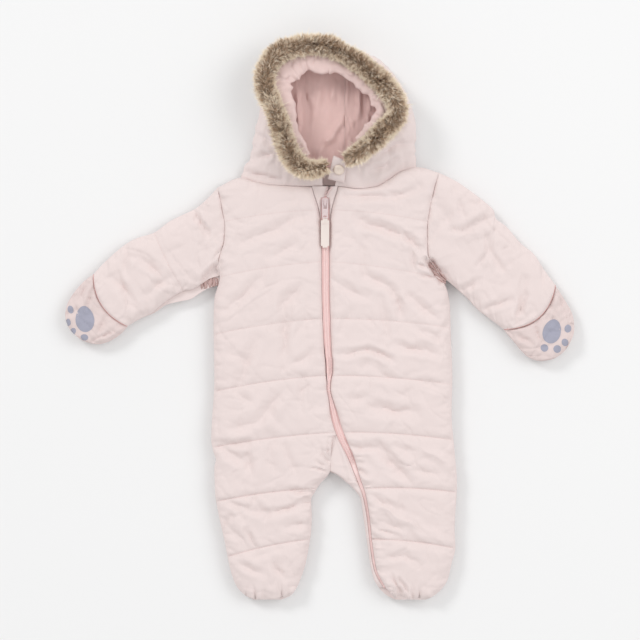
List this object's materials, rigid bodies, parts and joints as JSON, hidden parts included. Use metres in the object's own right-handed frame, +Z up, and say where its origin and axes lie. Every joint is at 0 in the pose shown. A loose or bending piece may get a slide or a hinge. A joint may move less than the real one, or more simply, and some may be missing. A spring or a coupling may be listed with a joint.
{
  "type": "baby snowsuit",
  "caption": "Padded, quilted baby snowsuit laid flat: hood with fur trim, front zip down one leg with a swinging pull, fold-over mitts and closed feet.",
  "frame": {"origin": "centre of the suit's outline on the surface that it lies on", "axes": "+Y from the feet to the hood, +Z up from the surface, +X towards the wearer's left"},
  "size_m": [0.6633, 0.736, 0.0631],
  "materials": {
    "shell": "matte",
    "mitt": "matte",
    "lining": "matte",
    "facing": "matte",
    "fur": "matte",
    "zip_tape": "matte",
    "zip_coil": "satin",
    "metal": "satin",
    "pull_tag": "matte",
    "snap": "satin"
  },
  "bodies": {
    "garment": {"front_right": "shell", "front_left": "shell", "back_right": "shell", "back_left": "shell", "sole_right": "shell", "sole_left": "shell", "crotch_gusset": "shell", "sleeve_front_right": "shell", "sleeve_front_left": "shell", "sleeve_back_right": "shell", "sleeve_back_left": "shell", "hood_right": "shell", "hood_left": "shell", "hood_centre": "shell", "chin_tab": "shell", "mitt_front_right": "mitt", "mitt_front_left": "mitt", "mitt_back_right": "mitt", "mitt_back_left": "mitt", "hood_lining_right": "lining", "hood_lining_left": "lining", "hood_lining_centre": "lining", "hood_facing": "facing", "fur_trim": "fur", "zip_tape": "zip_tape", "zip_chain": "zip_coil", "zip_slider": "metal", "snap_cap": "snap"},
    "pull": {"pull_link": "metal", "pull_tag": "pull_tag"}
  },
  "joints": [
    {"name": "pull_swing", "type": "hinge", "parent": "garment", "child": "pull", "pos_m": [0.0073, 0.1486, 0.02735], "axis": [-1, 0, 0], "range_deg": [0, 120]}
  ]
}
